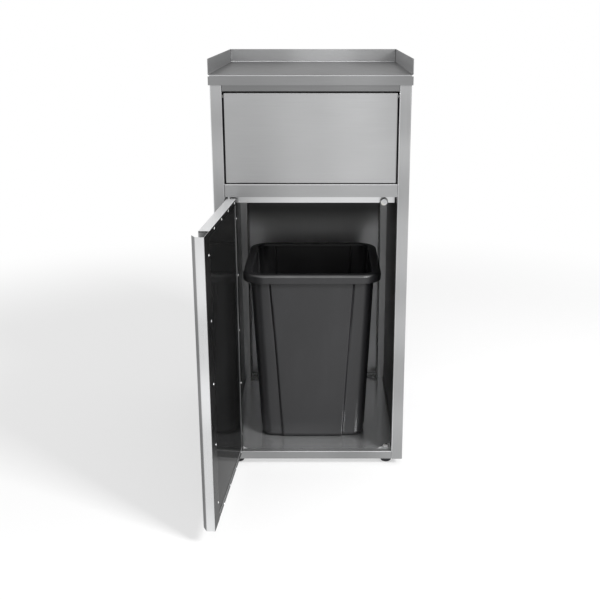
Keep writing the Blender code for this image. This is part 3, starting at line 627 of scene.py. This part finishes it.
@dataclass
class Casing:
    """Frame, panels and tray."""

    corners: Tuple[str, ...] = CORNERS
    sides: Tuple[str, ...] = SIDES

    def dress(self) -> None:
        """Give every fixed sheet and tube its finish."""
        for corner in self.corners:
            dress(f"post_{corner}", POST)
            dress(f"corner_plate_{corner}", GALVANISED)
        for level, front in (("top", SHADED_TOP_RAIL), ("bottom", RAIL)):
            dress(f"rail_{level}_front", front)
            dress(f"rail_{level}_rear", RAIL)
            for side in self.sides:
                dress(f"rail_{level}_{side}", DEEP_RAIL)
        for side, liner in zip(self.sides, (LEFT_LINER, SHADED_RIGHT_LINER)):
            dress(f"side_panel_{side}", PANEL)
            dress(f"side_liner_{side}", liner)
        dress("back_panel", BACK_SHEET)
        dress("floor_panel", LIT_FLOOR_LINER)
        dress("mid_rail", MID_RAIL)
        dress("tray_top", TRAY)


@dataclass
class Feet:
    """Feet under the four corners."""

    corners: Tuple[str, ...] = CORNERS

    def dress(self) -> None:
        """Give pads, studs and nuts their finishes."""
        for corner in self.corners:
            dress(f"foot_pad_{corner}", RUBBER)
            dress(f"foot_stud_{corner}", ZINC)
            dress(f"foot_nut_{corner}", GALVANISED)


@dataclass
class Hardware:
    """Hinge parts, catch and bushes on the frame."""

    sides: Tuple[str, ...] = SIDES

    def dress(self) -> None:
        """Give the small parts their finishes."""
        for node in ("hinge_pin_top", "hinge_pin_bottom", "catch_magnet"):
            dress(node, ZINC)
        for node in ("hinge_bracket", "catch_plate"):
            dress(node, RAIL)
        for side in self.sides:
            dress(f"flap_bush_{side}", DARK_NYLON)


@dataclass
class Flap:
    """Swing flap."""

    sides: Tuple[str, ...] = SIDES

    def dress(self) -> None:
        """Give the flap's sheets and pins their finishes."""
        dress("flap_pan", FLAP_SHEET)
        dress("flap_plate", FLAP_SHEET)
        for side in self.sides:
            dress(f"flap_pin_{side}", DULL_SHADED_ZINC)


@dataclass(frozen=True)
class Taper:
    """A size that changes evenly from the bin's bottom to its top."""

    bottom: float
    top: float

    def at(self, share: float) -> float:
        """Return the size at a share of the height."""
        return self.bottom + (self.top - self.bottom) * share


@dataclass
class Bin:
    """Loose moulded bin with a rolled rim and a raised panel on each side; lengths in metres."""

    height: float = 0.495
    width: Taper = Taper(0.289, 0.335)
    depth: Taper = Taper(0.295, 0.340)
    wall: float = 0.003
    corner: float = 0.030
    bottom_edge: float = 0.018
    rim_overhang: float = 0.0225
    rim_height: float = 0.024
    rim_roll: float = 0.008
    rim_corner: float = 0.060
    skirt_round: float = 0.001
    mouth_round: float = 0.005
    panel_width: Taper = Taper(0.162, 0.227)
    panel_proud: Taper = Taper(0.0050, 0.0045)
    panel_step: Taper = Taper(0.0080, 0.0060)
    groove_depth: Taper = Taper(0.0, 0.0045)
    flat_strip: float = 0.004
    corner_segments: int = 14
    step_segments: int = 8
    round_segments: int = 7
    body_rows: int = 8

    def build(self) -> None:
        """Add the moulding where its CAD solid stands."""
        low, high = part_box("waste_bin")
        seat = Vector(((low.x + high.x) / 2, (low.y + high.y) / 2, low.z))
        bm = bmesh.new()
        rows = [[bm.verts.new(seat + point) for point in row] for row in self.rows()]
        for first, second in zip(rows, rows[1:]):
            for i, vert in enumerate(first):
                bm.faces.new((first[i - 1], vert, second[i], second[i - 1]))
        bm.faces.new(rows[0])
        bm.faces.new(rows[-1])
        bmesh.ops.recalc_face_normals(bm, faces=bm.faces)
        piece = add_piece("moulded_bin", bm, PLASTIC, "bin")
        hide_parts("waste_bin")

    def rows(self) -> List[List[Vector]]:
        """Lay out the moulding, level by level.

        Returns:
            Rows of points from the underside, over the rim, to the floor inside.
        """
        edge = self.bottom_edge
        inside = self.corner - self.wall
        climb = (self.height - self.rim_roll - edge) / self.body_rows
        levels = [edge + climb * i for i in range(self.body_rows + 1)]
        foot = arc((edge, edge), edge, 270, 180, self.round_segments)
        inner_foot = arc((edge, edge), edge - self.wall, 180, 270, self.round_segments)
        rows = [self.row(level, -inset, self.corner) for inset, level in foot]
        rows += [self.row(level, 0.0, self.corner) for level in levels[1:]]
        rows += [self.rim_row(level, inset) for inset, level in self.rim_profile()]
        rows += [self.row(level, -self.wall, inside) for level in reversed(levels)]
        rows += [self.row(level, -inset, inside) for inset, level in inner_foot[1:]]
        return rows

    def rim_profile(self) -> List[Pair]:
        """Lay out the rim's section.

        Returns:
            Inset from the rim's outer face and level of each point, from below the rim to its mouth.
        """
        under_rim = self.height - self.rim_roll
        skirt = self.height - self.rim_height
        small = self.skirt_round
        mouth = self.rim_overhang - self.mouth_round + self.wall
        hidden = [(self.wall, under_rim), (self.wall, skirt + small)]
        lower = [(self.wall - small, skirt), (small, skirt), (0.0, skirt + small)]
        roll = arc((self.rim_roll, under_rim), self.rim_roll, 180, 90, self.round_segments)
        lip = arc((mouth, self.height - self.mouth_round), self.mouth_round, 90, 0, self.round_segments)
        return hidden + lower + roll + lip

    def rim_row(self, level: float, inset: float) -> List[Vector]:
        """Return a row of the rim, which has no panels and whose round corners share their middles."""
        return self.row(level, self.rim_overhang - inset, self.rim_corner - inset, raised=0.0)

    def row(self, level: float, grow: float, corner: float, raised: float = 1.0) -> List[Vector]:
        """Lay out one level of the bin: a rounded rectangle with a raised panel on each side.

        Args:
            level: Height above the bin's underside.
            grow: Distance by which the tapered body grows outwards.
            corner: Radius of the corners.
            raised: Share of the panel's height.

        Returns:
            The points, anticlockwise.
        """
        share = level / self.height
        half_x = self.width.at(share) / 2 + grow
        half_y = self.depth.at(share) / 2 + grow
        points = []
        for quarter, (reach, run) in enumerate(((half_x, half_y), (half_y, half_x)) * 2):
            spin = Matrix.Rotation(quarter * math.pi / 2, 3, "Z")
            side = self.side(reach, run, corner, share, raised)
            points += [spin @ Vector((*place, level)) for place in side]
        return points

    def side(self, reach: float, run: float, corner: float, share: float, raised: float) -> List[Pair]:
        """Lay out one side of a level, with its panel, and the corner that follows it.

        Args:
            reach: Distance of the side from the middle.
            run: Half the length of the side, with its corners.
            corner: Radius of the corners.
            share: Share of the bin's height.
            raised: Share of the panel's height.

        Returns:
            Distance from the middle and place along the side of each point.
        """
        step = self.panel_step.at(share)
        proud = self.panel_proud.at(share) * raised
        groove = self.groove_depth.at(share) * raised
        panel = min(self.panel_width.at(share) / 2, run - corner - 2 * step)
        slope = [(reach, panel + step + self.flat_strip)]
        for i in range(self.step_segments + 1):
            climb = i / self.step_segments
            rise = proud * ease(climb) - groove * math.sin(math.pi * climb) ** 2
            slope.append((reach + rise, panel + step * (1.0 - climb)))
        slope.append((reach + proud, panel - self.flat_strip))
        mirrored = [(out, -along) for out, along in slope]
        bend = arc((reach - corner, run - corner), corner, 0, 90, self.corner_segments)
        return mirrored + slope[::-1] + bend


@dataclass(frozen=True)
class RivetHead:
    """Domed head of a blind rivet with its broken stem sunk in the middle; lengths in metres."""

    radius: float = 0.0032
    height: float = 0.0011
    rim: float = 0.0002
    stem_radius: float = 0.0012
    stem_foot: float = 0.00114
    stem_tip: float = 0.00048
    stem_depth: float = 0.0004
    stem_crown: float = 0.00015
    sunk: float = 0.0001
    segments: int = 20
    rings: int = 4

    def profile(self) -> List[Pair]:
        """Lay out the head's section.

        Returns:
            Radius and height of each point, from the rim to the middle of the stem.
        """
        points = [(self.radius, -self.sunk), (self.radius, self.rim)]
        for i in range(1, self.rings + 1):
            turn = math.pi / 2 * i / self.rings
            reach = self.stem_radius + (self.radius - self.stem_radius) * math.cos(turn)
            points.append((reach, self.rim + (self.height - self.rim) * math.sin(turn)))
        lowest = self.height - self.stem_depth
        return [*points, (self.stem_foot, lowest), (self.stem_tip, lowest + self.stem_crown)]

    def add(self, bm: bmesh.types.BMesh, place: Matrix) -> None:
        """Add one head.

        Args:
            bm: Mesh that takes the head.
            place: Matrix that carries the head's Z axis to where it sits.
        """
        turns = [2 * math.pi * i / self.segments for i in range(self.segments)]
        loops = []
        for reach, level in self.profile():
            ring = [Vector((reach * math.cos(t), reach * math.sin(t), level)) for t in turns]
            loops.append([bm.verts.new(place @ point) for point in ring])
        for low, high in zip(loops, loops[1:]):
            for i in range(self.segments):
                j = (i + 1) % self.segments
                bm.faces.new((low[i], low[j], high[j], high[i]))
        bm.faces.new(loops[-1])
        bm.faces.new(list(reversed(loops[0])))


@dataclass
class Door:
    """Hinged door with the rivets of its liner; lengths in metres, in the shut door's own directions."""

    open_angle: float = OPEN_ANGLE
    low: float = 0.045
    high: float = 0.753
    inner_face: float = 0.019
    free_edge: float = 0.428
    hinge_edge: float = -0.006
    lip_middle: float = 0.007
    hinge_lip_middle: float = 0.0085
    pull_rivets_back: float = 0.047
    side_margin: float = 0.051
    side_count: int = 5
    top_first: float = 0.033
    top_pitch: float = 0.094
    top_count: int = 4
    rivet: RivetHead = RivetHead()

    def dress(self) -> None:
        """Give the door's sheets and bushes their finishes."""
        dress("door_skin", DOOR_SHEET)
        dress("door_pull", PULL_SHEET)
        dress("door_liner", DOOR_LINER)
        for end in ("top", "bottom"):
            dress(f"door_bush_{end}", NYLON)

    def build(self) -> None:
        """Add the four rows of rivets."""
        step = (self.high - self.low - 2 * self.side_margin) / (self.side_count - 1)
        levels = [self.low + self.side_margin + step * i for i in range(self.side_count)]
        across = [self.hinge_edge + self.top_first + self.top_pitch * i for i in range(self.top_count)]
        rows = {
            "door_rivets_hinge_side": [(self.hinge_edge + self.hinge_lip_middle, z) for z in levels],
            "door_rivets_pull_side": [(self.free_edge - self.pull_rivets_back, z) for z in levels],
            "door_rivets_top": [(x, self.high - self.lip_middle) for x in across],
            "door_rivets_bottom": [(x, self.low + self.lip_middle) for x in across],
        }
        for name, places in rows.items():
            self._add_row(name, places)

    def _add_row(self, name: str, places: Sequence[Pair]) -> None:
        """Add one row of rivets.

        Args:
            name: Name of the piece.
            places: Distance from the pins and level of each rivet.
        """
        hinge = next(joint for joint in frame["joints"] if joint["name"] == "door_hinge")
        axis = Vector((hinge["pos_m"][0], hinge["pos_m"][1], 0.0))
        swing = Matrix.Translation(axis) @ Matrix.Rotation(math.radians(-self.open_angle), 4, "Z")
        inwards = Matrix.Rotation(-math.pi / 2, 4, "X")
        bm = bmesh.new()
        for x, z in places:
            self.rivet.add(bm, swing @ Matrix.Translation((x, self.inner_face, z)) @ inwards)
        add_piece(name, bm, RIVET, "door")


@dataclass(frozen=True)
class Softbox:
    """A square area light that points at the object; lengths in metres, power in watts."""

    name: str
    place: Point
    side: float
    power: float

    def build(self, target: Vector) -> None:
        """Add the light.

        Args:
            target: Point that the light faces.
        """
        data = bpy.data.lights.new(self.name, "AREA")
        data.energy = self.power
        data.size = self.side
        light = bpy.data.objects.new(self.name, data)
        light.location = self.place
        light.rotation_euler = (target - Vector(self.place)).to_track_quat("-Z", "Y").to_euler()
        bpy.context.scene.collection.objects.link(light)
        LOG.info("%s", self.name)


@dataclass
class Studio:
    """White room: floor, daylight dome and soft lights; lengths in metres."""

    aim: Point = (0.0, 0.0, 0.55)
    floor_side: float = 60.0
    floor_grey: float = 0.95
    # The floor's own white near the object, and the distances over which it grows to full white
    floor_glow: float = 0.50
    shadow_room: Pair = (1.5, 2.8)
    # The dome's brightness where it only lights, and straight above where it is reflected
    ambient: float = 0.60
    overhead: float = 0.70
    overhead_span: Pair = (0.15, 0.85)
    lights: Tuple[Softbox, ...] = (
        Softbox("key_light", (2.3, -2.4, 2.5), side=0.9, power=150.0),
        Softbox("front_light", (-0.3, -3.0, 2.9), side=1.6, power=15.0),
    )

    WHITE: ClassVar[Tuple[float, ...]] = (1.0, 1.0, 1.0, 1.0)

    def build(self) -> None:
        """Add the floor, the dome and the lights."""
        self._build_floor()
        self._build_dome()
        for light in self.lights:
            light.build(Vector(self.aim))

    @staticmethod
    def _seen(graph: Graph) -> Socket:
        """Tell rays that show the room itself, in view or in a reflection, from rays that only light.

        Args:
            graph: The graph of the floor or of the dome.

        Returns:
            1 for rays that show the room and 0 for the others.
        """
        path = "ShaderNodeLightPath"
        camera = graph.node(path, output="Is Camera Ray")
        glossy = graph.node(path, output="Is Glossy Ray")
        through = graph.node(path, output="Is Transmission Ray")
        return camera.largest(glossy).largest(through)

    def _build_floor(self) -> None:
        """Add a white floor that keeps the object's shadow."""
        bm = bmesh.new()
        bmesh.ops.create_grid(bm, x_segments=1, y_segments=1, size=self.floor_side / 2)
        mesh = bpy.data.meshes.new("floor")
        bm.to_mesh(mesh)
        bm.free()
        material = bpy.data.materials.new("white_floor")
        material.use_nodes = True
        graph = Graph(material.node_tree)
        paint = (self.floor_grey, self.floor_grey, self.floor_grey, 1.0)
        matte = graph.node("ShaderNodeBsdfDiffuse", None, {"Color": paint})
        glow = graph.node("ShaderNodeEmission", None, {"Color": self.WHITE, "Strength": 1.0})
        length = {"operation": "LENGTH"}
        away = graph.node("ShaderNodeVectorMath", length, {0: graph.place()}, output="Value")
        white = self.floor_glow + (1.0 - self.floor_glow) * away.smooth(*self.shadow_room)
        mixed = graph.node("ShaderNodeMixShader", None, {0: white * self._seen(graph), 1: matte, 2: glow})
        graph.node("ShaderNodeOutputMaterial", None, {"Surface": mixed})
        mesh.materials.append(material)
        floor = bpy.data.objects.new("floor", mesh)
        bpy.context.scene.collection.objects.link(floor)

    def _build_dome(self) -> None:
        """Make the world white where it is seen and softer where it only lights."""
        world = bpy.data.worlds.new("studio")
        bpy.context.scene.world = world
        world.use_nodes = True
        graph = Graph(world.node_tree)
        direction = graph.node("ShaderNodeTexCoord", output="Generated")
        height = graph.node("ShaderNodeSeparateXYZ", None, {"Vector": direction}, output="Z")
        camera = graph.node("ShaderNodeLightPath", output="Is Camera Ray")
        dome = 1.0 - (1.0 - self.overhead) * height.smooth(*self.overhead_span)
        shown = camera.largest(dome)
        seen = self._seen(graph)
        strength = seen * shown + (1.0 - seen) * self.ambient
        sky = graph.node("ShaderNodeBackground", None, {"Color": self.WHITE, "Strength": strength})
        graph.node("ShaderNodeOutputWorld", None, {"Surface": sky})


@dataclass
class PhotoCamera:
    """Camera at the photo's viewing angle, in metres; lens and sensor in millimetres, tilt in degrees."""

    place: Point = (0.033, -2.4474, 1.215)
    lens: float = 56.18
    sensor: float = 36.0
    tilt: float = 17.23
    shift_x: float = -0.0401
    sight: float = 200.0

    def build(self) -> None:
        """Add the camera and make it the scene's own."""
        data = bpy.data.cameras.new("photo_camera")
        data.lens = self.lens
        data.sensor_width = self.sensor
        data.shift_x = self.shift_x
        data.clip_end = self.sight
        camera = bpy.data.objects.new("photo_camera", data)
        camera.location = self.place
        camera.rotation_euler = (math.radians(90.0 - self.tilt), 0.0, 0.0)
        bpy.context.scene.collection.objects.link(camera)
        bpy.context.scene.camera = camera


def main() -> None:
    """Build the scene."""
    logging.basicConfig(level=logging.INFO, format="%(message)s")
    bpy.context.scene.view_settings.view_transform = "Standard"
    for assembly in (Casing(), Feet(), Hardware(), Flap()):
        assembly.dress()
    Bin().build()
    door = Door()
    door.dress()
    door.build()
    Studio().build()
    PhotoCamera().build()


if __name__ == "__main__":
    main()
